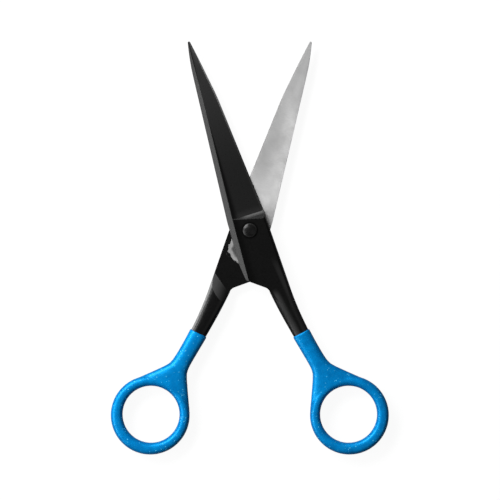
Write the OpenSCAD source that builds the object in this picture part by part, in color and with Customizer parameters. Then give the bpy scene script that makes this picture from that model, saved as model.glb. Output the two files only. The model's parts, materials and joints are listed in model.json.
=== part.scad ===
// Office scissors, 6.5 inch size: two forged steel halves crossed on a peened rivet,
// each ending in a finger ring with a thick dip coating. Millimetres.
//
// Both halves are one forging. It is drawn once, closed, in its own frame: the pivot axis is
// Z, the blade runs along +Y, the spine is on -X and the cutting edge on +X. Z = 0 is the
// plane where the two halves meet and this forging fills the layer above it. The rear half is
// the same forging turned over about Y.

/* [Overall] */
// Pivot to blade tip
tip_reach = 73.9; // [64:0.1:90]
// Pivot to the centre of the finger ring
ring_reach = 78.2; // [72:0.05:95]
// Angle of each half from the middle line, as the scissors lie open
half_open = 17.66; // [12:0.02:40]
// Angle of each half from the middle line when the rings meet
half_closed = 0.25; // [0:0.05:2]

/* [Joint] */
// Thickness of one half at the pivot
joint_t = 2.8; // [2.2:0.1:4]
// Gap between the inner faces of the two halves
face_gap = 0.1; // [0.06:0.02:0.2]
// Distance of the spine side from the middle line, where it is widest behind the blade
joint_reach = 7.7; // [7.2:0.1:9]
// Pivot to the bend in the spine side, along the blade
bend_back = 11.4; // [9:0.1:13]
// Radius of that bend
bend_r = 20; // [10:1:30]
// Pivot to the heel, along the blade
heel_back = 17.4; // [15:0.1:20]
// Distance of the heel from the middle line
heel_side = 7; // [6:0.1:7.4]
// Pivot to the inner corner of the crotch, along the blade
crotch_back = 22.9; // [21:0.1:25]
// Radius of the heel
heel_r = 1.2; // [0.4:0.1:2]
// Inner radius of the crotch
crotch_r = 3; // [1:0.5:4]
// Length over which the edge of the crotch fades into the shank
crotch_fade = 5; // [3:0.5:8]
// Swell of the back past the width of the blade's root
back_swell = 0.8; // [0:0.1:1.2]
// Radius of the raised ride land round the pivot
ride_r = 12.6; // [10:0.1:14]
// Side of the ride land toward the cutting edge
ride_side = 5.5; // [4:0.1:6.5]
// Depth of the relief around the ride land
ride_relief = 0.15; // [0.05:0.05:0.4]
// Distance kept between the crotch edge of one half and the step of the other, closed
step_gap = 1.7; // [1:0.1:3]
// Angle of the ramp that ends the joint recess on the inner side
recess_ramp = 28; // [20:1:60]

/* [Blade] */
// Pivot to the foot of the ramp at the root of the ground face
blade_root = 5.6; // [4:0.1:8]
// Width at the root of the ground face
root_w = 14.2; // [12:0.1:15]
// Width where the two edges start to curve to the tip
shoulder_w = 5.5; // [4:0.1:8]
// Length of the curved stretch before the tip
shoulder_len = 12.9; // [8:0.1:20]
// Radius of the tip
tip_r = 0.65; // [0.4:0.05:1.2]
// Height of the spine ridge above the meeting plane at the tip
tip_t = 0.85; // [0.7:0.05:1.2]
// Slope of the ground outer face, from the ridge down to the cutting edge
grind_angle = 11; // [9:0.5:12]
// Angle of the ramp from the ground face up to the joint
root_ramp = 37; // [25:1:60]
// Width of the spine chamfer at the root
chamfer_w = 2.1; // [1:0.1:3]
// Width of the spine chamfer near the tip
chamfer_tip_w = 1.4; // [0.8:0.1:1.8]
// Width of the spine chamfer where it ends at the heel
chamfer_heel_w = 0.95; // [0.2:0.05:1.5]
// Slope of the spine chamfer
chamfer_angle = 28; // [15:1:32]
// Angle of the honed bevel along the cutting edge
hone_angle = 40; // [30:1:60]
// Height of the cutting edge above the inner face
edge_t = 0.06; // [0.04:0.02:0.2]
// Depth of the hollow ground into the inner face at the root
hollow_depth = 0.12; // [0.05:0.01:0.25]
// Width of the flat land left beside the hollow at the root
hollow_land = 1.2; // [0.6:0.1:2]
// Root of the ground face to the start of the hollow
hollow_start = 3; // [1:0.5:8]

/* [Shank] */
// Width where the shank leaves the joint
shank_w = 7.8; // [7:0.1:9]
// Width at the neck above the ring
neck_w = 5.6; // [4.5:0.1:6.5]
// Thickness of the bare shank
shank_t = 4.2; // [3.4:0.1:5]
// Lean of the shank from the blade's axis, where it meets the ring
ring_lean = 11.9; // [8:0.1:16]
// Neck to the centre of the ring
neck_len = 25; // [22:0.5:30]

/* [Ring] */
// Outside diameter over the coating
ring_d = 29.4; // [26:0.1:31]
// Finger hole diameter
hole_d = 21.2; // [19:0.1:23]
// Shift of the hole from the middle of the ring, toward the other ring
hole_shift = 0.2; // [0:0.05:0.6]
// Shift of the hole from the middle of the ring, toward the rivet
hole_rise = 0.4; // [0:0.05:0.6]
// Thickness of the ring over the coating
ring_t = 5; // [4:0.1:6.5]
// Half angle of the flare between neck and ring
flare_angle = 36; // [28:1:45]
// Softness of the fillet between neck and flare
flare_fillet = 0.5; // [0.2:0.1:1]
// Thickness of the dip coating
coat_t = 0.4; // [0.25:0.05:0.7]
// Ring centre to the cut end of the coating
coat_len = 35.4; // [28:0.1:38]
// Height of the straight land inside the finger hole
hole_land = 1.2; // [0.6:0.1:2]

/* [Rivet] */
// Shaft diameter
rivet_d = 3.2; // [2.4:0.1:4]
// Running clearance round the shaft in the front half, on the radius
rivet_play = 0.05; // [0.02:0.01:0.1]
// Clearance of the peened shaft in the rear half, on the radius
rivet_fit = 0.01; // [0.01:0.01:0.03]
// Diameter of the domed head
head_d = 5.2; // [4.2:0.1:6]
// Height of the domed head
head_h = 0.9; // [0.6:0.1:1.5]
// Height of the straight rim below the dome
head_rim = 0.2; // [0.1:0.05:0.4]
// Diameter of the peened tail
tail_d = 4.4; // [4.2:0.1:5.5]
// Height of the peened tail
tail_h = 0.4; // [0.3:0.1:0.8]

/* [Hidden] */
$fn = 96;
// Larger than the whole part, for cutting planes, and a small overlap for cuts
reach = 260;
over = 1;
// Fineness of the lofts and arcs
sides = 28;
steel_rings = 24;
coated_rings = 14;
joint_rings = 4;
tip_steps = 8;
tip_arc_steps = 12;
arc_steps = 8;
dome_steps = 12;
// Rounded back of the joint: width, height past the flat face, and how far it runs past the
// blade's root; the shank starts just behind the crotch
joint_bar = 7.2;
crown = 0.35;
bar_lead = 1.4;
shank_lead = 1;
// Ride land to the blade's root, and the part of the shank over which it leaves its layer
land_lead = 2;
settle = 0.3;
// Lean at the top of the shank, and the power of its taper
shank_lean_top = 4;
taper_n = 1.6;
// Tuck of the flare under the rim, stations of core past the coating, spare length of the cone
rim_tuck = 0.05;
core_lead = 1.5;
cone_spare = 1.05;
// Height above the ring's face at which the rounding of the hole would end
lip_spare = 0.01;
// Squareness of the sections: 2 is an ellipse
joint_n = 3;
shank_n = 2.3;
flare_n = 3.2;
ring_n = 2.3;

inner_z = face_gap / 2;
joint_z = inner_z + joint_t;
ring_r = ring_d / 2;
hole_r = hole_d / 2;
// The ring's rounded rim and the rounding of its hole, each as wide as half the thinnest side
round_w = (ring_r - hole_r - hole_shift) / 2;
rim_r = ring_r - round_w;
lip_r = hole_r + round_w;

// The rings meet on the middle line when both halves stand at half_closed
ring_dir = asin((ring_r + face_gap) / ring_reach) - half_closed;
ring_c = [ring_reach * sin(ring_dir), -ring_reach * cos(ring_dir)];
hole_c = ring_c + [-hole_shift, hole_rise];

// Blade: straight stretches from the root to the shoulder, then a parabola to the round tip
shoulder_y = tip_reach - shoulder_len;
tip_c = tip_reach - tip_r;
top_y = tip_c * cos(half_open) + tip_r;
bottom_y = -ring_reach * cos(half_open + ring_dir) - ring_r;
side_slope = (root_w - shoulder_w) / 2 / (shoulder_y - blade_root);
tip_drop = side_at(tip_c) - tip_r;
ridge_root = [-(root_w / 2 - chamfer_w), blade_root, joint_z];
ridge_tip = [-(side_at(tip_c) - chamfer_tip_w), tip_c, tip_t];
ridge_lean = (ridge_tip[0] - ridge_root[0]) / (ridge_tip[1] - ridge_root[1]);
ridge_fall = (ridge_tip[2] - ridge_root[2]) / (ridge_tip[1] - ridge_root[1]);

// Shank: a cubic from the joint to the ring centre
shank_top = [root_w / 2 + back_swell - shank_w / 2, -(crotch_back + shank_lead)];
shank_drop = shank_top[1] - ring_c[1];
joint_top = [root_w / 2 - joint_bar / 2, blade_root + bar_lead];
neck_at = 1 - neck_len * cos(ring_lean) / shank_drop;
coat_at = 1 - coat_len * cos(ring_lean) / shank_drop;
steel_stations = [for (k = [0 : steel_rings]) ring_at(0) * k / steel_rings];
coated_stations = [for (k = [0 : coated_rings]) coat_at + (ring_at(coat_t) - coat_at) * k / coated_rings];
heel = [-heel_side, -heel_back];
crotch = [shank_top[0] - shank_w / 2, -crotch_back];

function side_at(y) = root_w / 2 - side_slope * (y - blade_root);
function tip_side(y) = side_at(y) - tip_drop * pow((y - shoulder_y) / (tip_c - shoulder_y), 2);
function mirrored(points) = [for (p = points) [-p[0], p[1]]];
function backward(list) = [for (i = [len(list) - 1 : -1 : 0]) list[i]];
function unit(v) = v / norm(v);
function ease(t) = let (u = min(max(t, 0), 1)) u * u * (3 - 2 * u);
function soft_max(a, b, c) = (a + b) / 2 + sqrt(pow((a - b) / 2, 2) + c * c);

// Arc that rounds the corner q between p and r
function rounded(p, q, r, radius) =
    let (u = unit(p - q), v = unit(r - q))
    let (half = acos(u * v) / 2, mid = q + unit(u + v) * radius / sin(half))
    let (from = q + u * radius / tan(half) - mid, to = q + v * radius / tan(half) - mid)
    [for (i = [0 : arc_steps]) mid + unit(from * (arc_steps - i) + to * i) * radius];

// Shank path, t = 0 at the joint and 1 at the ring centre, and its lean away from -Y
function path(t) = [
    shank_top[0] * (1 + 2 * t) * pow(1 - t, 2) + ring_c[0] * t * t * (3 - 2 * t)
        + shank_drop * (tan(shank_lean_top) * t * pow(1 - t, 2) - tan(ring_lean) * t * t * (1 - t)),
    shank_top[1] - shank_drop * t
];
function path_lean(t) = shank_lean_top + (ring_lean - shank_lean_top) * ease(t / neck_at);
function ring_at(grow) = 1 - (ring_r - coat_t + grow) * sin(flare_angle) * cos(ring_lean) / shank_drop;
function to_ring(t) = (1 - t) * shank_drop / cos(ring_lean);

// Half width of the shank: an even taper to the neck, then a flare tangent to the ring's rim
function shank_half(t, rim, grow) = soft_max(
    (neck_w + (shank_w - neck_w) * pow(max(1 - t / neck_at, 0), taper_n)) / 2 + grow,
    (rim - to_ring(t) * sin(flare_angle)) / cos(flare_angle),
    flare_fillet
);

// Superellipse across the path: n = 2 is an ellipse and a higher n is squarer
function section(p, lean, half_w, z_low, z_high, n) = [
    for (i = [0 : sides - 1])
        let (a = 360 * i / sides)
        let (u = half_w * sign(cos(a)) * pow(abs(cos(a)), 2 / n))
        let (w = (z_high - z_low) / 2 * sign(sin(a)) * pow(abs(sin(a)), 2 / n))
        [p[0] + u * cos(lean), p[1] + u * sin(lean), (z_high + z_low) / 2 + w]
];

// The shank's outer side sinks from the joint's face to its own height
function shank_ring(t, rim, grow) = section(
    path(t), path_lean(t), shank_half(t, rim, grow),
    -shank_t / 2 - grow,
    shank_t / 2 + grow + (joint_z + crown - shank_t / 2) * (1 - ease(t / settle)),
    shank_n + (flare_n - shank_n) * ease((t - neck_at) / (1 - neck_at))
        + (joint_n - shank_n) * (1 - ease(t / settle))
);
function joint_ring(t) = section(
    joint_top + (shank_top - joint_top) * t, shank_lean_top * t,
    (joint_bar + (shank_w - joint_bar) * t) / 2, -shank_t / 2, joint_z + crown, joint_n
);

module loft(rings) {
    count = len(rings);
    points = [for (ring = rings) for (p = ring) p];
    walls = [
        for (k = [0 : count - 2]) for (i = [0 : sides - 1])
            let (j = (i + 1) % sides, a = k * sides, b = a + sides)
            for (f = [[a + i, b + i, b + j], [a + i, b + j, a + j]]) f
    ];
    near_cap = [for (i = [0 : sides - 1]) i];
    far_cap = [for (i = [sides - 1 : -1 : 0]) (count - 1) * sides + i];
    polyhedron(points, concat(walls, [near_cap], [far_cap]), convexity = 8);
}

// Everything above a plane through a point, with the plane's rise per unit of X and of Y
module above(point, rise_x, rise_y) {
    turn_y = -atan(rise_x);
    turn_x = atan(rise_y * cos(turn_y));
    translate(point) rotate([turn_x, turn_y, 0]) translate([-reach / 2, -reach / 2, 0]) cube(reach);
}

// Section of the finger ring's rim, as a disc with no hole
function rim_section(half_w, half_t) = concat(
    [[0, -half_t]],
    [for (i = [-arc_steps : arc_steps]) let (a = 90 * i / arc_steps)
        [rim_r + half_w * pow(cos(a), 2 / ring_n), half_t * sign(a) * pow(abs(sin(a)), 2 / ring_n)]],
    [[0, half_t]]
);

// Section of what the hole takes out: a short straight land, and a rounding to each face
function hole_section(half_w, half_t) =
    let (flat = asin(pow(hole_land / 2 / half_t, ring_n / 2)))
    let (inner_w = half_w / pow(cos(flat), 2 / ring_n))
    let (lip = [for (i = [0 : arc_steps]) let (a = flat + (90 - flat) * i / arc_steps)
        [lip_r - inner_w * pow(cos(a), 2 / ring_n), half_t * pow(sin(a), 2 / ring_n)]])
    concat(
        [[0, -half_t - over], [lip_r, -half_t - over]],
        [for (p = backward(lip)) [p[0], -p[1]]],
        lip,
        [[lip_r, half_t + over], [0, half_t + over]]
    );

module ring(grow) {
    half_w = round_w - coat_t + grow;
    half_t = ring_t / 2 - coat_t + grow;
    difference() {
        translate([ring_c[0], ring_c[1], 0]) rotate_extrude() polygon(rim_section(half_w, half_t));
        translate([hole_c[0], hole_c[1], 0]) rotate_extrude()
            polygon(hole_section(half_w, half_t + lip_spare));
    }
}

// The shank between two of its stations, open inside the ring
module shank(grow, stations, joint_part) {
    rim = ring_r - coat_t + grow - rim_tuck;
    first = joint_part ? [for (k = [0 : joint_rings - 1]) joint_ring(k / joint_rings)] : [];
    difference() {
        loft(concat(first, [for (t = stations) shank_ring(t, rim, grow)]));
        translate([ring_c[0], ring_c[1], -reach / 2]) cylinder(r = rim_r, h = reach);
    }
}

// Plan of the blade and the flat joint. The rounded back of the joint comes from the shank.
module blank_plan() {
    bar_x = joint_top[0];
    bend = [-joint_reach, -bend_back];
    fade_y = crotch[1] - crotch_fade;
    root = root_w / 2;
    edge = concat(
        [[root, blade_root]],
        [for (i = [0 : tip_steps]) let (y = shoulder_y + (tip_c - shoulder_y) * i / tip_steps)
            [tip_side(y), y]]
    );
    round_tip = [for (i = [1 : tip_arc_steps - 1]) let (a = 180 * i / tip_arc_steps)
        [tip_r * cos(a), tip_c + tip_r * sin(a)]];
    polygon(concat(
        edge, round_tip, backward(mirrored(edge)),
        rounded([-root, blade_root], bend, heel, bend_r),
        rounded(bend, heel, crotch, heel_r),
        rounded(heel, crotch, crotch + [sin(shank_lean_top), -cos(shank_lean_top)], crotch_r),
        [[shank_top[0] - shank_w / 4, fade_y], [bar_x, fade_y], [bar_x, blade_root]]
    ));
}

// What grinding takes off the outer face: the blade's slope, the honed bevel, the ramp at the
// root, and the chamfer along the spine, which narrows to the heel
module ground_off() {
    slope = -tan(grind_angle);
    fall = ridge_fall - slope * ridge_lean;
    hone = -tan(hone_angle);
    edge_root = [root_w / 2, blade_root, inner_z + edge_t];
    intersection() {
        above(ridge_root, slope, fall - tan(root_ramp));
        union() {
            above(ridge_root, slope, fall);
            above(edge_root, hone, hone * side_slope);
        }
    }
    chamfer = tan(chamfer_angle);
    above(ridge_root, chamfer, ridge_fall - chamfer * ridge_lean);
    heel_lean = (heel[0] + chamfer_heel_w - ridge_root[0]) / (heel[1] - ridge_root[1]);
    above(ridge_root, chamfer, -chamfer * heel_lean);
}

// Hollow of the inner face: a wide cone whose point is at the tip, so the hollow narrows and
// grows shallower along the blade
module hollow() {
    half_chord = root_w / 2 - hollow_land;
    length = tip_c - blade_root;
    rise = atan(hollow_depth / length);
    tilt = atan(ln(1 + pow(half_chord / length, 2)) / 2 / (rise * PI / 180));
    cone_h = length * cone_spare * cos(tilt);
    difference() {
        translate([0, tip_c, inner_z]) rotate([90 + tilt, 0, 0])
            cylinder(r1 = 0, r2 = cone_h * tan(tilt + rise), h = cone_h);
        translate([-reach / 2, -reach, -reach / 2]) cube([reach, reach + blade_root + hollow_start, reach]);
    }
}

// Room for the other half: the recess over the whole joint, sunk a little deeper around the
// ride land, ends in a ramp that runs beside the other half's crotch edge
module recess() {
    other_heel = [heel_side, -heel_back];
    other_crotch = [-crotch[0], -crotch_back];
    along = unit(other_crotch - other_heel);
    foot = other_heel + step_gap * [-along[1], along[0]];
    slope = tan(recess_ramp);
    mirror([0, 0, 1]) intersection() {
        above([foot[0], foot[1], -inner_z - ride_relief], -along[1] * slope, along[0] * slope);
        union() {
            above([0, 0, -inner_z], 0, 0);
            translate([0, 0, -inner_z - ride_relief]) linear_extrude(over + ride_relief) difference() {
                translate([-reach / 2, blade_root - land_lead - reach]) square(reach);
                intersection() {
                    circle(ride_r);
                    translate([ride_side - reach, -reach / 2]) square(reach);
                }
            }
        }
    }
}

module half_forging(bore_r) {
    difference() {
        union() {
            translate([0, 0, inner_z]) linear_extrude(joint_t + crown) blank_plan();
            shank(0, steel_stations, true);
            ring(0);
        }
        above([0, 0, joint_z], 0, 0);
        ground_off();
        hollow();
        recess();
        cylinder(r = bore_r, h = reach, center = true);
    }
}

module coating() {
    difference() {
        union() {
            shank(coat_t, coated_stations, false);
            ring(coat_t);
        }
        shank(0, [for (t = steel_stations) if (t > coat_at - core_lead / steel_rings) t], false);
        ring(0);
    }
}

// Domed head, shaft and peened tail, turned as one piece
module rivet() {
    seat = joint_z + face_gap / 2;
    head_r = head_d / 2;
    cap_h = head_h - head_rim;
    dome_r = (head_r * head_r + cap_h * cap_h) / 2 / cap_h;
    sweep = asin(head_r / dome_r);
    dome = [for (i = [0 : dome_steps]) let (a = sweep * (1 - i / dome_steps))
        [dome_r * sin(a), seat + head_h - dome_r * (1 - cos(a))]];
    rotate_extrude() polygon(concat(
        [[0, -joint_z - tail_h], [(tail_d - tail_h) / 2, -joint_z - tail_h]],
        [[tail_d / 2, -joint_z - tail_h / 2], [tail_d / 2, -joint_z]],
        [[rivet_d / 2, -joint_z], [rivet_d / 2, seat], [head_r, seat]],
        dome
    ));
}

// The part's origin is the middle of its box on the ground, as it lies open
module placed() translate([0, -(top_y + bottom_y) / 2, joint_z + tail_h]) children();
module as_front() placed() rotate([0, 0, half_open]) children();
module as_rear() placed() rotate([0, 180, -half_open]) children();

module front_blade() color("#1c1d1f") as_front() half_forging(rivet_d / 2 + rivet_play);
module rear_blade() color("#b9b9b9") as_rear() half_forging(rivet_d / 2 + rivet_fit);
module front_handle_coating() color("#0673ba") as_front() coating();
module rear_handle_coating() color("#0673ba") as_rear() coating();
module pivot_rivet() color("#26272a") placed() rivet();

front_blade();
rear_blade();
front_handle_coating();
rear_handle_coating();
pivot_rivet();
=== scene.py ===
import json
import math
import bpy
import bmesh
from mathutils import Euler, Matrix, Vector
from mathutils.bvhtree import BVHTree


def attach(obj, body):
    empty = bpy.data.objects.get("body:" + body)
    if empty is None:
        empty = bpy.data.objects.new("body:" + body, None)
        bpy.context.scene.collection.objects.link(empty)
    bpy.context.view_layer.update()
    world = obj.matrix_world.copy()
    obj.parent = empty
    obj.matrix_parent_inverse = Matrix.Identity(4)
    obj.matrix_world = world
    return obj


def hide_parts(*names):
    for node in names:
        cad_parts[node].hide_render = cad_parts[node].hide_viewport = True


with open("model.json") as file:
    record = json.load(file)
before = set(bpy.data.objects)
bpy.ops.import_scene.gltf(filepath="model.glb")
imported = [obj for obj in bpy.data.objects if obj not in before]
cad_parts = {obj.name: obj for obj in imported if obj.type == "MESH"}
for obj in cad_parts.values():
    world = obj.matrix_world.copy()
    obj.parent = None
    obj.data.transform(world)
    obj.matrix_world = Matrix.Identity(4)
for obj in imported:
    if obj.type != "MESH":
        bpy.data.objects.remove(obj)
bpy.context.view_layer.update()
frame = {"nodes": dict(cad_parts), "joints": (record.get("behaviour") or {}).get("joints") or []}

# =============================================================================================
# REAR FORGING
# The lower half of the scissors, turned over so that its inner face looks up. Forged steel:
# the inner face is hollow ground and left bare, with a raised ride round the rivet, and the
# rest is baked black enamel.
# =============================================================================================

MM = 0.001
PIVOT = Vector(frame["joints"][0]["pos_m"])
HALF_OPEN = math.radians(17.66)      # each half from the middle line, as the scissors lie open
REAR_TURN = (0, math.pi, -HALF_OPEN)

# Places on a half are in its own frame, in millimetres: the rivet's axis is Z, the blade runs
# along +Y, the spine is on -X and the inner face looks along -Z. A line along the half is given
# by its x at the rivet and its lean, the x that it gains for each y.
BLADE_ROOT = 5.6                     # the foot of the ground blade, on the outer side
SPINE_ROOT_X, SPINE_LEAN = -7.1, 0.0785
SPINE_X = SPINE_ROOT_X - SPINE_LEAN * BLADE_ROOT

MERGED = 0.002 * MM                  # points closer than this are one point
FLAT = math.radians(0.3)             # faces that turn by less than this are one face
TIP_FROM, TIP_FULL = 49.0, 71.0      # the last stretch of the blade is ground narrower,
TIP_TAKEN = 0.22                     # by this share of its width, from the cutting edge
TIP_CUTS, TIP_STEP = 16, 1.5         # cuts across that stretch, so that it curves evenly
BROKEN_EDGE = 0.10 * MM              # the edges between ground faces, eased with a stone
EASED_ANGLE = math.radians(22)       # an edge that turns by more than this is eased
HAIRPIN = math.radians(40)           # two sharp edges with less between them end in a point
END_TOUCHES = 3.5 * BROKEN_EDGE      # an edge this near an end is left as it is,
END_REACHES = 25 * BROKEN_EDGE       # and a hollow one even this near
SHARP_ANGLE = math.radians(35)       # an edge that turns by more than this shades sharp


def fine_copy(node, name):
    """A merged copy of a CAD node's mesh with its flat faces whole again."""
    mesh = frame["nodes"][node].data.copy()
    mesh.name = name
    for layer in ("custom_normal", "sharp_face", "sharp_edge"):
        if layer in mesh.attributes:
            mesh.attributes.remove(mesh.attributes[layer])
    bm = bmesh.new()
    bm.from_mesh(mesh)
    bmesh.ops.remove_doubles(bm, verts=bm.verts, dist=MERGED)
    bmesh.ops.dissolve_limit(bm, angle_limit=FLAT, verts=bm.verts, edges=bm.edges)
    for face in bm.faces:
        face.smooth = True
        face.material_index = 0
    bm.to_mesh(mesh)
    bm.free()
    mesh.materials.clear()
    return mesh


def grind_tip(mesh, turn):
    """Grinds the last stretch of a blade narrower toward its spine."""
    turned = Euler(turn).to_matrix()
    bm = bmesh.new()
    bm.from_mesh(mesh)
    for step in range(TIP_CUTS):
        cut = PIVOT + turned @ Vector((0, (TIP_FROM + TIP_STEP * step) * MM, 0))
        bmesh.ops.bisect_plane(bm, geom=bm.verts[:] + bm.edges[:] + bm.faces[:], dist=0.01 * MM,
                               plane_co=cut, plane_no=turned @ Vector((0, 1, 0)))
    for vert in bm.verts:
        x, y, z = turned.inverted() @ (vert.co - PIVOT) / MM
        share = min(max((y - TIP_FROM) / (TIP_FULL - TIP_FROM), 0), 1)
        from_spine = x - (SPINE_X + SPINE_LEAN * y)
        x -= from_spine * TIP_TAKEN * share * share * (3 - 2 * share)
        vert.co = PIVOT + turned @ Vector((x, y, z)) * MM
    bm.to_mesh(mesh)
    bm.free()


def mark_edges(mesh):
    """Marks the sharp edges to ease, but not those beside a place where one runs out."""
    bm = bmesh.new()
    bm.from_mesh(mesh)
    weight = bm.edges.layers.float.new("bevel_weight_edge")
    sharp = {e for e in bm.edges if e.is_manifold and e.calc_face_angle() > EASED_ANGLE}
    ends = []
    for vert in bm.verts:
        ways = [e.other_vert(vert).co - vert.co for e in vert.link_edges if e in sharp]
        if len(ways) == 1 or (len(ways) == 2 and ways[0].angle(ways[1]) < HAIRPIN):
            ends.append(vert.co.copy())
    for edge in sharp:
        first, last = edge.verts[0].co, edge.verts[1].co
        middle = (first + last) / 2
        touching = any(min((first - end).length, (last - end).length) < END_TOUCHES
                       for end in ends)
        beside = any((middle - end).length < END_REACHES for end in ends)
        edge[weight] = float(not touching and (edge.is_convex or not beside))
    bm.to_mesh(mesh)
    bm.free()


def apply_modifiers(piece, name):
    """Makes a piece's modifiers part of its mesh."""
    piece.data = bpy.data.meshes.new_from_object(
        piece.evaluated_get(bpy.context.evaluated_depsgraph_get()))
    piece.modifiers.clear()
    piece.data.name = name


def forging(node, name, body, material, turn):
    """A forged half with its ground edges eased; the eased strips carry the mark broken_edge."""
    piece = bpy.data.objects.new(name, fine_copy(node, name))
    grind_tip(piece.data, turn)
    mark_edges(piece.data)
    bpy.context.scene.collection.objects.link(piece)
    for _ in range(2):
        piece.data.materials.append(material)
    bevel = piece.modifiers.new("eased", "BEVEL")
    bevel.width = BROKEN_EDGE
    bevel.segments = 2
    bevel.limit_method = "WEIGHT"
    bevel.use_clamp_overlap = False
    bevel.material = 1
    flat = piece.modifiers.new("flat", "WEIGHTED_NORMAL")
    flat.weight = 50
    flat.keep_sharp = True
    apply_modifiers(piece, name)
    mesh = piece.data
    mark = mesh.attributes.new("broken_edge", "FLOAT", "FACE")
    mark.data.foreach_set("value", [float(face.material_index) for face in mesh.polygons])
    mesh.polygons.foreach_set("material_index", [0] * len(mesh.polygons))
    mesh.materials.pop(index=1)
    mesh.set_sharp_from_angle(angle=SHARP_ANGLE)
    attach(piece, body)
    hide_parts(node)


def plug(tree, socket, value):
    """Links an output to a socket, or sets the socket's own value."""
    if isinstance(value, bpy.types.NodeSocket):
        tree.links.new(value, socket)
    else:
        socket.default_value = value


def add_node(tree, kind, **values):
    """A shader node; a value named i0, i1... goes on that input, any other on the node."""
    made = tree.nodes.new("ShaderNode" + kind)
    for name, value in values.items():
        if name[0] == "i" and name[1:].isdigit():
            plug(tree, made.inputs[int(name[1:])], value)
        else:
            setattr(made, name, value)
    return made


def sums(tree, operation, a, b=0.0, c=0.0):
    """One line of arithmetic on a value."""
    return add_node(tree, "Math", operation=operation, i0=a, i1=b, i2=c).outputs[0]


def all_of(tree, *masks):
    """Where every one of several masks holds."""
    held = masks[0]
    for mask in masks[1:]:
        held = sums(tree, "MULTIPLY", held, mask)
    return held


def rise(tree, value, low, high):
    """A mask: 0 at low, 1 at high, eased between. It falls where low is above high."""
    made = add_node(tree, "MapRange", interpolation_type="SMOOTHSTEP", i0=value, i1=low, i2=high)
    return made.outputs[0]


def scaled(tree, value, low, high):
    """A 0 to 1 value spread over a range."""
    return add_node(tree, "MapRange", i0=value, i3=low, i4=high).outputs[0]


def split(tree, vector):
    """The three parts of a vector."""
    return add_node(tree, "SeparateXYZ", i0=vector).outputs


def noise(tree, vector, scale, detail=2.0, roughness=0.5, distortion=0.0):
    """Plain noise about 0.5."""
    made = add_node(tree, "TexNoise", noise_dimensions="3D")
    plug(tree, made.inputs["Vector"], vector)
    made.inputs["Scale"].default_value = scale
    made.inputs["Detail"].default_value = detail
    made.inputs["Roughness"].default_value = roughness
    made.inputs["Distortion"].default_value = distortion
    return made.outputs["Fac"]


def mix(tree, factor, a, b):
    """A colour between a and b."""
    made = add_node(tree, "Mix", data_type="RGBA")
    plug(tree, made.inputs["Factor"], factor)
    plug(tree, made.inputs[6], a)
    plug(tree, made.inputs[7], b)
    return made.outputs[2]


def coats(tree, colour, *layers):
    """A colour with others laid over it in turn, each where its mask holds and by its share."""
    for mask, share, over in layers:
        factor = mask if share == 1 else sums(tree, "MULTIPLY", mask, share)
        colour = mix(tree, factor, colour, over)
    return colour


def grey(value, warm=0.0):
    """A neutral colour, a little warm or cool."""
    return (value * (1 + warm), value, value * (1 - warm), 1)


def relief(tree, shader, height, strength, distance):
    """A height laid on the surface as a fine relief."""
    bump = add_node(tree, "Bump")
    bump.inputs["Strength"].default_value = strength
    bump.inputs["Distance"].default_value = distance
    plug(tree, bump.inputs["Height"], height)
    plug(tree, shader.inputs["Normal"], bump.outputs[0])


def new_group(name, inputs, outputs):
    """A shader node group with its sockets, and its two ends."""
    tree = bpy.data.node_groups.new(name, "ShaderNodeTree")
    for label, kind in inputs:
        tree.interface.new_socket(name=label, in_out="INPUT", socket_type=kind)
    for label in outputs:
        tree.interface.new_socket(name=label, in_out="OUTPUT", socket_type="NodeSocketFloat")
    return tree, tree.nodes.new("NodeGroupInput"), tree.nodes.new("NodeGroupOutput")


def use_group(tree, group, **inputs):
    """A group placed in a material, with its named inputs set or linked."""
    made = tree.nodes.new("ShaderNodeGroup")
    made.node_tree = group
    for label, value in inputs.items():
        plug(tree, made.inputs[label.replace("_", " ")], value)
    return made.outputs


def new_material(name):
    """An empty material with its Principled shader."""
    material = bpy.data.materials.new(name)
    material.use_nodes = True
    return material, material.node_tree, material.node_tree.nodes["Principled BSDF"]


# Where each finish, painted highlight and painted shade lies on a half. A mask's two numbers
# say where it begins and where it is full, in millimetres for a place and in parts of the
# normal for the way that a face looks.
zones, zone_in, zone_out = new_group(
    "forging_zones",
    [("Place", "NodeSocketVector"), ("Normal", "NodeSocketVector")],
    ["Bare", "Hollow", "Ride shade", "Dulled", "Chamfer", "Ground", "Honed", "Ridge shade", "Foot highlight",
     "Ramp highlight", "Recess ramp highlight", "Crest highlight", "Flank highlight", "Rim highlight", "Rivet shadow"])
x, y = split(zones, zone_in.outputs["Place"])[:2]
nx, ny, nz = split(zones, zone_in.outputs["Normal"])


def past_line(at_rivet, lean):
    """How far a place lies past a line along the half, toward the cutting edge."""
    return sums(zones, "SUBTRACT", x, sums(zones, "MULTIPLY_ADD", y, lean, at_rivet))


def lay_out(label, *masks):
    """One zone, where all of its masks hold."""
    plug(zones, zone_out.inputs[label], all_of(zones, *masks))


# Inside: the ride round the rivet is bare to a wavering edge, darkened all over by painted
# shade where the front half lies over it and dull further in, and the blade is bare from the land
# to the spine's corner, with painted shade in its hollow
LAND_FRONT = 3.6                     # the foot of the ground blade, on the inner side
RIDE_SIDE, RIDE_END = 5.5, -12.7     # the ride's outer side and its end toward the shank,
RIDE_CORNER = 11.0                   # and the cut across the corner between them,
CORNER_WAY_X, CORNER_WAY_Y = 0.64, -0.77  # so far from the rivet this way
RIDE_ROUND = 0.8                     # how far its corners are rounded
WAVER = 1.1                          # how far the enamel's edge wanders either way
wander = noise(zones, zone_in.outputs["Place"], 0.55, 1.0)
waver = sums(zones, "MULTIPLY_ADD", wander, 2 * WAVER, -WAVER)
past_side = sums(zones, "SUBTRACT", x, RIDE_SIDE)
along_y = sums(zones, "MULTIPLY", y, CORNER_WAY_Y)
toward_corner = sums(zones, "MULTIPLY_ADD", x, CORNER_WAY_X, along_y)
past_corner = sums(zones, "SUBTRACT", toward_corner, RIDE_CORNER)
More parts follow.
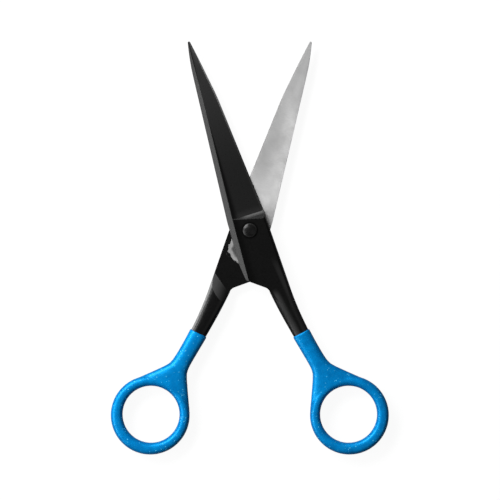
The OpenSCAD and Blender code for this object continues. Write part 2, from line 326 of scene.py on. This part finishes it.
past_end = sums(zones, "SUBTRACT", RIDE_END, y)
past_edge = sums(zones, "SMOOTH_MAX", past_side, past_corner, RIDE_ROUND)
past_edge = sums(zones, "SMOOTH_MAX", past_edge, past_end, RIDE_ROUND)
on_ride = rise(zones, sums(zones, "ADD", past_edge, waver), 0.12, -0.12)
past_bright = sums(zones, "MULTIPLY_ADD", waver, 0.35, past_edge)
behind_land = rise(zones, y, 5.0, 1.0)
past_land = sums(zones, "MULTIPLY_ADD", waver, 0.3, y)
across = past_line(SPINE_X, SPINE_LEAN)
bare_blade = all_of(zones, rise(zones, past_land, LAND_FRONT, LAND_FRONT + 0.4),
                    rise(zones, across, 0.24, 0.42))
facing_in = rise(zones, nz, -0.86, -0.97)
lay_out("Bare", facing_in, sums(zones, "MAXIMUM", on_ride, bare_blade))
lay_out("Hollow", rise(zones, across, 2.0, 8.0), rise(zones, y, 8.0, 30.0))
lay_out("Ride shade", on_ride, behind_land)
lay_out("Dulled", rise(zones, past_bright, -0.8, -1.7), behind_land)

# Outside, on the blade: the chamfer along the spine, the ground face and the honed strip at the
# cutting edge, with a shaded line beside the ridge that narrows toward the tip
RIDGE_ROOT_X, RIDGE_LEAN = -5.0, 0.0682
RIDGE_X = RIDGE_ROOT_X - RIDGE_LEAN * BLADE_ROOT
SHADE_X, SHADE_LEAN = 3.35, -0.074   # the width of the shaded line
SHADE_LEAST = 0.02
past_root = rise(zones, y, BLADE_ROOT - 0.2, BLADE_ROOT + 0.4)
past_heel = rise(zones, y, -17.4, -16.5)
ground = all_of(zones, rise(zones, nx, 0.10, 0.16), past_root, rise(zones, nz, 0.90, 0.96))
lay_out("Chamfer", rise(zones, nx, -0.36, -0.44), past_heel, rise(zones, nz, 0.72, 0.82))
lay_out("Ground", ground)
lay_out("Honed", rise(zones, nx, 0.22, 0.34), past_root, rise(zones, nz, 0.5, 0.65))
from_ridge = past_line(RIDGE_X, RIDGE_LEAN)
shade_width = sums(zones, "MULTIPLY_ADD", y, SHADE_LEAN, SHADE_X)
shade_width = sums(zones, "MAXIMUM", shade_width, SHADE_LEAST)
beside_ridge = rise(zones, from_ridge, shade_width, sums(zones, "MULTIPLY", shade_width, 0.25))
lay_out("Ridge shade", beside_ridge, rise(zones, nz, 0.5, 0.7))

# The foot of the blade: painted highlights on its last stretch and on the ramp up to the joint
below_foot = sums(zones, "SUBTRACT", BLADE_ROOT, y)
lay_out("Foot highlight", ground, rise(zones, below_foot, -3.0, 0.0))
lay_out("Ramp highlight", rise(zones, ny, 0.25, 0.5), rise(zones, y, 2.0, 3.0),
        rise(zones, from_ridge, 2.6, 6.4), rise(zones, below_foot, 1.5, 0.1))

# Behind the joint: painted highlights on the ramp of the inner recess, and on the shank along
# its crest, along the flank on the side of the other half, and along the rim on the far side
CREST_X, CREST_LEAN = 3.8, -0.107
FLANK_X, FLANK_LEAN = -2.4, -0.185
lay_out("Recess ramp highlight", rise(zones, ny, 0.12, 0.25), rise(zones, nz, -0.70, -0.82),
        rise(zones, y, -17.5, -18.5), rise(zones, x, 0.5, 8.0))
off_crest = sums(zones, "ABSOLUTE", past_line(CREST_X, CREST_LEAN))
lay_out("Crest highlight", rise(zones, off_crest, 1.4, 0.3), rise(zones, y, -11.0, -18.0),
        rise(zones, nz, 0.6, 0.85))
past_flank = past_line(FLANK_X, FLANK_LEAN)
lay_out("Flank highlight", rise(zones, past_flank, 1.7, -0.4), rise(zones, past_flank, -1.2, -0.6),
        rise(zones, y, -23.0, -27.0), rise(zones, nz, 0.5, 0.8))
lay_out("Rim highlight", rise(zones, nx, 0.45, 0.75), rise(zones, y, -17.0, -22.0),
        rise(zones, nz, 0.2, -0.1))

# Round the rivet's head: a painted shadow
from_rivet = sums(zones, "SQRT", sums(zones, "MULTIPLY_ADD", x, x, sums(zones, "MULTIPLY", y, y)))
lay_out("Rivet shadow", rise(zones, from_rivet, 3.5, 2.7), rise(zones, nz, 0.8, 0.9))

# Grinding marks: fine lines across the blade, over broad faint blotches
LINE_PITCH = 0.22
LINE_STRETCH = (0.12, 1.0, 0.3)      # the lines are drawn out along X, and a little along Z

grinding, grind_in, grind_out = new_group(
    "grinding_marks",
    [("Place", "NodeSocketVector"), ("Line pitch", "NodeSocketFloat")],
    ["Lines", "Blotches"])
stretch = add_node(grinding, "VectorMath", operation="MULTIPLY", i0=grind_in.outputs["Place"],
                   i1=LINE_STRETCH)
lined = add_node(grinding, "VectorMath", operation="SCALE", i0=stretch.outputs[0])
plug(grinding, lined.inputs["Scale"],
     sums(grinding, "DIVIDE", 1.0, grind_in.outputs["Line pitch"]))
plug(grinding, grind_out.inputs["Lines"], noise(grinding, lined.outputs[0], 1.0, 3.0, 0.6))
plug(grinding, grind_out.inputs["Blotches"],
     noise(grinding, grind_in.outputs["Place"], 0.16, 3.0, 0.55, 0.6))


def forging_material(name, place_turn, normal_turn):
    """Black enamel and bare ground steel, with painted highlights and shade, laid out in the half's
    own frame.
    """
    material, tree, shader = new_material(name)
    where = tree.nodes.new("ShaderNodeTexCoord")
    place = add_node(tree, "Mapping", vector_type="TEXTURE", i0=where.outputs["Object"],
                     i1=PIVOT, i2=place_turn, i3=(MM, MM, MM)).outputs[0]
    normal = add_node(tree, "Mapping", vector_type="VECTOR", i0=where.outputs["Normal"],
                      i2=normal_turn).outputs[0]
    along, height = split(tree, place)[1:]
    zone = use_group(tree, zones, Place=place, Normal=normal)
    marks = use_group(tree, grinding, Place=place, Line_pitch=LINE_PITCH)
    peel = noise(tree, place, 1.6, 2.0)
    eased = add_node(tree, "Attribute", attribute_name="broken_edge").outputs["Fac"]
    outer_edge = all_of(tree, eased, rise(tree, height, 0.3, 0.6))

    # enamel: near black, greyer where it is thin over ground steel and lighter toward the point,
    # with painted highlights on the ramps, the foot, the shank and the eased edges (these also
    # worn), painted shade beside the ridge and a painted shadow round the rivet
    on_ground = mix(tree, marks["Lines"], grey(0.0120), grey(0.0180))
    on_chamfer = mix(tree, marks["Lines"], grey(0.011), grey(0.023))
    on_chamfer = mix(tree, rise(tree, along, 30.0, 62.0), on_chamfer, grey(0.030))
    on_honed = mix(tree, rise(tree, along, 25.0, 62.0), grey(0.05), grey(0.34))
    lighter_to_tip = all_of(tree, zone["Ground"], rise(tree, along, 18.0, 68.0))
    point = rise(tree, along, 69.0, 73.5)
    enamel = coats(
        tree, mix(tree, scaled(tree, peel, 0.0, 1.0), grey(0.0036), grey(0.0066)),
        (zone["Ground"], 1, on_ground),
        (lighter_to_tip, 1, grey(0.034)),
        (point, 1, grey(0.07)),
        # painted highlight on the foot of the blade, where the ramp's light spills over
        (zone["Foot highlight"], 1, grey(0.026)),
        (zone["Ridge shade"], 0.85, grey(0.0015)),
        (zone["Chamfer"], 1, on_chamfer),
        # painted highlights on the ramp up to the joint and on the inner recess's ramp
        (zone["Ramp highlight"], 1, grey(0.100)),
        (zone["Recess ramp highlight"], 1, grey(0.11)),
        # painted highlights along the shank's crest, its flank and its far rim
        (zone["Crest highlight"], 1, grey(0.016)),
        (zone["Flank highlight"], 1, grey(0.042)),
        (zone["Rim highlight"], 1, grey(0.25)),
        # painted shadow round the rivet's head
        (zone["Rivet shadow"], 1, grey(0.0008)),
        (zone["Honed"], 1, on_honed),
        # the eased edges: worn, and lighter as a painted highlight
        (outer_edge, 0.55, grey(0.035)))

    # bare steel: blotched and lined, with painted light a little before the root, darker at the root
    # and further in on the ride, and darkened by painted shade in the hollow, over the ride and
    # toward the tip
    painted_root_light = all_of(tree, rise(tree, along, 27.0, 17.0), rise(tree, along, 9.0, 13.0))
    at_root = all_of(tree, rise(tree, along, 14.0, 8.0), rise(tree, along, 3.0, 6.0))
    blotched = scaled(tree, marks["Blotches"], -0.6, 1.6)
    lined = scaled(tree, marks["Lines"], -0.2, 0.7)
    tip_shade = scaled(tree, rise(tree, along, 40.0, 66.0), 0.0, 0.9)
    steel = coats(
        tree, mix(tree, blotched, grey(0.73, 0.004), grey(0.97, 0.002)),
        (lined, 1, grey(0.60)),
        # painted light a little before the root
        (painted_root_light, 0.4, grey(0.97)),
        (at_root, 0.5, grey(0.60)),
        # painted shade in the blade's hollow
        (zone["Hollow"], 0.6, grey(0.50)),
        # painted shade over the ride, where the front half lies over it
        (zone["Ride shade"], 0.6, grey(0.30)),
        (zone["Dulled"], 1, grey(0.14)),
        # painted shade toward the tip
        (tip_shade, 1, grey(0.60)))

    bare = zone["Bare"]
    plug(tree, shader.inputs["Base Color"], mix(tree, bare, enamel, steel))
    plug(tree, shader.inputs["Metallic"], sums(tree, "MULTIPLY", bare, 0.55))
    shader.inputs["Specular IOR Level"].default_value = 0.25
    rough = add_node(tree, "Mix", data_type="FLOAT", i0=bare)
    plug(tree, rough.inputs[2], scaled(tree, peel, 0.24, 0.34))
    plug(tree, rough.inputs[3], sums(tree, "ADD", scaled(tree, marks["Lines"], 0.40, 0.50),
                                     scaled(tree, marks["Blotches"], -0.05, 0.08)))
    plug(tree, shader.inputs["Roughness"], rough.outputs[0])
    scratches = sums(tree, "MULTIPLY", marks["Lines"], scaled(tree, bare, 0.15, 0.5))
    texture = sums(tree, "ADD", scratches, sums(tree, "MULTIPLY", peel, 0.5))
    relief(tree, shader, texture, 0.25, 0.02 * MM)
    return material


rear_finish = forging_material("rear_forging_finish", REAR_TURN, REAR_TURN)
forging("rear_blade", "rear_forging", "rear_half", rear_finish, REAR_TURN)

# =============================================================================================
# FRONT FORGING
# The upper half, the same forging with its outer face up: enamelled black, with a flat chamfer
# along the spine and a bare honed edge. Its bare inner face looks down.
# =============================================================================================

FRONT_TURN = (0, 0, HALF_OPEN)
front_finish = forging_material("front_forging_finish", FRONT_TURN, (0, 0, -HALF_OPEN))
forging("front_blade", "front_forging", "front_half", front_finish,
        FRONT_TURN)

# =============================================================================================
# HANDLE COATINGS
# A thick soft-touch vinyl over each ring and the lower shank, put on by dipping the handle
# twice, the second time with fine glitter in it, and trimmed square at its upper end.
# =============================================================================================

COAT_GRAIN = 0.24 * MM               # fineness of the dipped skin
COAT_FLOW, COAT_PASSES = 0.5, 18     # how far its corners run smooth
ON_CORE = 0.03 * MM                  # a face this close to the steel is the inside of the coating


def dipped(node, core, name, body, material):
    """The skin of a dipped handle: the outside of its solid, run smooth as the vinyl does."""
    mesh = fine_copy(node, name)
    steel = bmesh.new()
    steel.from_mesh(frame["nodes"][core].data)
    core_faces = BVHTree.FromBMesh(steel)
    steel.free()
    bm = bmesh.new()
    bm.from_mesh(mesh)
    bmesh.ops.triangulate(bm, faces=bm.faces)
    inside = [f for f in bm.faces if core_faces.find_nearest(f.calc_center_median())[3] < ON_CORE]
    bmesh.ops.delete(bm, geom=inside, context="FACES")
    bmesh.ops.holes_fill(bm, edges=[e for e in bm.edges if e.is_boundary], sides=0)
    bm.to_mesh(mesh)
    bm.free()
    piece = bpy.data.objects.new(name, mesh)
    bpy.context.scene.collection.objects.link(piece)
    skin = piece.modifiers.new("skin", "REMESH")
    skin.mode = "VOXEL"
    skin.voxel_size = COAT_GRAIN
    flow = piece.modifiers.new("flow", "SMOOTH")
    flow.factor = COAT_FLOW
    flow.iterations = COAT_PASSES
    apply_modifiers(piece, name)
    for face in piece.data.polygons:
        face.use_smooth = True
    piece.data.materials.clear()
    piece.data.materials.append(material)
    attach(piece, body)
    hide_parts(node)
    return piece


# The vinyl: clouded blue, with the flecks of glitter that lie under its surface
VINYL_DEEP, VINYL_BRIGHT = (0.0, 0.168, 0.53, 1), (0.0, 0.285, 0.77, 1)
SUNK_FLECK = (0.02, 0.36, 0.80, 1)
FLECKS_PER_MM = 2.5

vinyl, tree, shader = new_material("glitter_vinyl")
where = tree.nodes.new("ShaderNodeTexCoord")
place = add_node(tree, "Mapping", vector_type="TEXTURE", i0=where.outputs["Object"],
                 i3=(MM, MM, MM)).outputs[0]
cells = add_node(tree, "TexVoronoi", feature="F1")
plug(tree, cells.inputs["Vector"], place)
cells.inputs["Scale"].default_value = FLECKS_PER_MM
chosen, bright = split(tree, cells.outputs["Color"])[:2]
is_fleck = all_of(tree, rise(tree, chosen, 0.80, 0.84),
                  rise(tree, cells.outputs["Distance"], 0.50, 0.28))
cloud = noise(tree, place, 0.33, 4.0, 0.6)
clouded = mix(tree, scaled(tree, cloud, -0.4, 1.4), VINYL_DEEP, VINYL_BRIGHT)
fleck_shine = all_of(tree, is_fleck, scaled(tree, bright, 0.1, 0.5))
plug(tree, shader.inputs["Base Color"], mix(tree, fleck_shine, clouded, SUNK_FLECK))
plug(tree, shader.inputs["Roughness"],
     sums(tree, "SUBTRACT", scaled(tree, cloud, 0.42, 0.54), sums(tree, "MULTIPLY", is_fleck, 0.12)))
shader.inputs["Metallic"].default_value = 0.22
shader.inputs["Specular IOR Level"].default_value = 1.0
shader.inputs["Specular Tint"].default_value = (0.03, 0.95, 1.0, 1)
shader.inputs["Coat Weight"].default_value = 0.10
shader.inputs["Coat Roughness"].default_value = 0.22
shader.inputs["Coat IOR"].default_value = 1.4
relief(tree, shader, sums(tree, "ADD", is_fleck, noise(tree, place, 1.8, 2.0)), 0.2, 0.03 * MM)

rear_coating = dipped("rear_handle_coating", "rear_blade", "rear_coating", "rear_half", vinyl)
front_coating = dipped("front_handle_coating", "front_blade", "front_coating", "front_half", vinyl)

# The glitter that lies at the skin: hexagonal flakes of foil, a little askew and half sunk
FOIL_DIM, FOIL_BRIGHT = (0.01, 0.28, 0.68, 1), (0.10, 0.62, 0.95, 1)
FLAKES_PER_M2 = 300000.0
FLAKE_RADIUS, FLAKE_THICKNESS = 0.16 * MM, 0.05 * MM
FLAKE_SMALLEST, FLAKE_LARGEST = 0.6, 1.3
FLAKE_LEAN = 0.15                    # radians out of the skin, either way

flake_foil, tree, shader = new_material("glitter_foil")
glint = add_node(tree, "Attribute", attribute_name="glint").outputs["Fac"]
plug(tree, shader.inputs["Base Color"], mix(tree, glint, FOIL_DIM, FOIL_BRIGHT))
plug(tree, shader.inputs["Roughness"], scaled(tree, glint, 0.45, 0.30))
shader.inputs["Specular IOR Level"].default_value = 0.7
shader.inputs["Specular Tint"].default_value = (0.10, 0.72, 1.0, 1)


def geometry_node(tree, kind, links, **values):
    """A node of a geometry tree, with its inputs linked or set by name."""
    made = tree.nodes.new(kind)
    for name, value in values.items():
        setattr(made, name, value)
    for label, value in links.items():
        plug(tree, made.inputs[label], value)
    return made


sprinkle = bpy.data.node_groups.new("glitter_sprinkle", "GeometryNodeTree")
for label, kind in (("Skin", "NodeSocketGeometry"), ("Flakes per m2", "NodeSocketFloat"),
                    ("Flake radius", "NodeSocketFloat"), ("Flake thickness", "NodeSocketFloat"),
                    ("Seed", "NodeSocketInt"), ("Foil", "NodeSocketMaterial")):
    sprinkle.interface.new_socket(name=label, in_out="INPUT", socket_type=kind)
sprinkle.interface.new_socket(name="Flakes", in_out="OUTPUT", socket_type="NodeSocketGeometry")
given = sprinkle.nodes.new("NodeGroupInput").outputs
points = geometry_node(sprinkle, "GeometryNodeDistributePointsOnFaces", {
    "Mesh": given["Skin"], "Density": given["Flakes per m2"], "Seed": given["Seed"]})
flake = geometry_node(sprinkle, "GeometryNodeMeshCylinder", {
    "Vertices": 6, "Radius": given["Flake radius"], "Depth": given["Flake thickness"]})
askew = geometry_node(sprinkle, "FunctionNodeRandomValue", {"Seed": given["Seed"]},
                      data_type="FLOAT_VECTOR")
askew.inputs[0].default_value = (-FLAKE_LEAN, -FLAKE_LEAN, 0.0)
askew.inputs[1].default_value = (FLAKE_LEAN, FLAKE_LEAN, math.tau)
turned = geometry_node(sprinkle, "FunctionNodeRotateRotation", {
    "Rotation": points.outputs["Rotation"], "Rotate By": askew.outputs[0]},
    rotation_space="LOCAL")
bigness = geometry_node(sprinkle, "FunctionNodeRandomValue", {"Seed": given["Seed"]},
                        data_type="FLOAT")
bigness.inputs[2].default_value = FLAKE_SMALLEST
bigness.inputs[3].default_value = FLAKE_LARGEST
laid = geometry_node(sprinkle, "GeometryNodeInstanceOnPoints", {
    "Points": points.outputs["Points"], "Instance": flake.outputs["Mesh"],
    "Rotation": turned.outputs[0], "Scale": bigness.outputs[1]})
shine = geometry_node(sprinkle, "FunctionNodeRandomValue", {"Seed": given["Seed"]},
                      data_type="FLOAT")
marked = geometry_node(sprinkle, "GeometryNodeStoreNamedAttribute", {
    "Geometry": laid.outputs[0], "Name": "glint", "Value": shine.outputs[1]},
    data_type="FLOAT", domain="INSTANCE")
real = geometry_node(sprinkle, "GeometryNodeRealizeInstances", {"Geometry": marked.outputs[0]})
foiled = geometry_node(sprinkle, "GeometryNodeSetMaterial", {
    "Geometry": real.outputs[0], "Material": given["Foil"]})
plug(sprinkle, sprinkle.nodes.new("NodeGroupOutput").inputs[0], foiled.outputs[0])


def glitter(skin, name, body, seed):
    """The flakes on one skin, as one mesh."""
    piece = bpy.data.objects.new(name, skin.data.copy())
    bpy.context.scene.collection.objects.link(piece)
    maker = piece.modifiers.new("sprinkle", "NODES")
    maker.node_group = sprinkle
    sizes = {"Flakes per m2": FLAKES_PER_M2, "Flake radius": FLAKE_RADIUS,
             "Flake thickness": FLAKE_THICKNESS, "Seed": seed, "Foil": flake_foil}
    for socket in sprinkle.interface.items_tree:
        if socket.name in sizes:
            maker[socket.identifier] = sizes[socket.name]
    apply_modifiers(piece, name)
    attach(piece, body)


glitter(rear_coating, "rear_glitter", "rear_half", 3)
glitter(front_coating, "front_glitter", "front_half", 8)

# =============================================================================================
# PIVOT RIVET
# A blackened steel rivet with a plain domed head, fast in the rear half and peened over below.
# The front half turns on its shaft.
# =============================================================================================

HEAD_EASED = 0.08 * MM               # how far its corners are eased,
HEAD_EASED_ANGLE = math.radians(25)  # where they turn by more than this
HEAD_SHARP_ANGLE = math.radians(40)  # an edge that turns by more than this shades sharp

blacked, tree, shader = new_material("blackened_rivet")
where = tree.nodes.new("ShaderNodeTexCoord")
place = add_node(tree, "Mapping", vector_type="TEXTURE", i0=where.outputs["Object"], i1=PIVOT,
                 i3=(MM, MM, MM)).outputs[0]
rub = noise(tree, place, 1.4, 3.0)
black = mix(tree, rub, grey(0.006), grey(0.012))
# a lighter grey round the rim of the head: a painted reflection along it
at_rim = rise(tree, split(tree, where.outputs["Normal"])[2], 0.93, 0.87)
plug(tree, shader.inputs["Base Color"], mix(tree, at_rim, black, grey(0.026)))
plug(tree, shader.inputs["Roughness"], scaled(tree, rub, 0.22, 0.34))
shader.inputs["Specular IOR Level"].default_value = 0.22

rivet = bpy.data.objects.new("rivet", fine_copy("pivot_rivet", "rivet"))
bpy.context.scene.collection.objects.link(rivet)
ease = rivet.modifiers.new("eased", "BEVEL")
ease.width = HEAD_EASED
ease.segments = 3
ease.limit_method = "ANGLE"
ease.angle_limit = HEAD_EASED_ANGLE
apply_modifiers(rivet, "rivet")
rivet.data.set_sharp_from_angle(angle=HEAD_SHARP_ANGLE)
rivet.data.materials.clear()
rivet.data.materials.append(blacked)
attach(rivet, "rear_half")
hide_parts("pivot_rivet")

# =============================================================================================
# STUDIO
# White paper just under the rivet's tail, a large soft lamp at the upper left, weaker strips at
# the left and at the top, a dim fill opposite, and the camera straight above.
# =============================================================================================

PAPER_SIDE = 3.0                     # metres from the middle of the sheet to its edge
PAPER_Z = -0.0002
PAPER_GREY, PAPER_GLOW = 0.10, 0.94
SEEN_IN_GLOSS = 0.10                 # the share of the paper's glow that gloss reflects
AMBIENT = 0.04

scene = bpy.context.scene
scene.view_settings.view_transform = "Standard"
corners = [(PAPER_SIDE * i, PAPER_SIDE * j, PAPER_Z)
           for i, j in ((-1, -1), (1, -1), (1, 1), (-1, 1))]
floor_mesh = bpy.data.meshes.new("floor")
floor_mesh.from_pydata(corners, [], [(0, 1, 2, 3)])
floor = bpy.data.objects.new("floor", floor_mesh)
scene.collection.objects.link(floor)
paper = bpy.data.materials.new("white_paper")
paper.use_nodes = True
tree = paper.node_tree
tree.nodes.clear()
path = tree.nodes.new("ShaderNodeLightPath")
in_gloss = sums(tree, "MULTIPLY", path.outputs["Is Glossy Ray"], SEEN_IN_GLOSS)
seen = sums(tree, "MAXIMUM", path.outputs["Is Camera Ray"], in_gloss)
diffuse = add_node(tree, "BsdfDiffuse", i0=grey(PAPER_GREY))
glow = add_node(tree, "Emission", i0=grey(1.0), i1=sums(tree, "MULTIPLY", seen, PAPER_GLOW))
both = add_node(tree, "AddShader", i0=diffuse.outputs[0], i1=glow.outputs[0])
add_node(tree, "OutputMaterial", i0=both.outputs[0])
floor_mesh.materials.append(paper)

world = bpy.data.worlds.new("studio")
scene.world = world
world.use_nodes = True
background = world.node_tree.nodes["Background"]
background.inputs["Color"].default_value = (1, 1, 1, 1)
background.inputs["Strength"].default_value = AMBIENT


def lamp(name, azimuth, elevation, distance, size, watts):
    """An area lamp aimed at the rivet from so far away, its azimuth in degrees from +X."""
    light = bpy.data.lights.new(name, "AREA")
    light.shape = "RECTANGLE"
    light.size, light.size_y = size
    light.energy = watts
    stand = bpy.data.objects.new(name, light)
    a, e = math.radians(azimuth), math.radians(elevation)
    toward = Vector((math.cos(a) * math.cos(e), math.sin(a) * math.cos(e), math.sin(e)))
    stand.location = PIVOT + distance * toward
    stand.rotation_euler = (PIVOT - stand.location).to_track_quat("-Z", "Y").to_euler()
    scene.collection.objects.link(stand)


lamp("key", 135, 39, 0.9, (0.6, 0.3), 9.0)
lamp("left_strip", 198, 32, 0.45, (0.3, 0.2), 0.92)
lamp("top_strip", 104, 18, 0.8, (0.5, 0.2), 0.75)
lamp("fill", -30, 55, 1.0, (0.6, 0.6), 0.4)

CAMERA_HEIGHT = 1.2
FIELD = 0.18625                      # metres of view at the height of the rivet's middle
VIEW_MIDDLE = (0.00007, -0.00734)    # from the rivet
cam = bpy.data.cameras.new("camera")
cam.sensor_width = 36
cam.lens = cam.sensor_width * CAMERA_HEIGHT / FIELD
camera = bpy.data.objects.new("camera", cam)
camera.location = PIVOT + Vector((*VIEW_MIDDLE, CAMERA_HEIGHT))
scene.collection.objects.link(camera)
scene.camera = camera
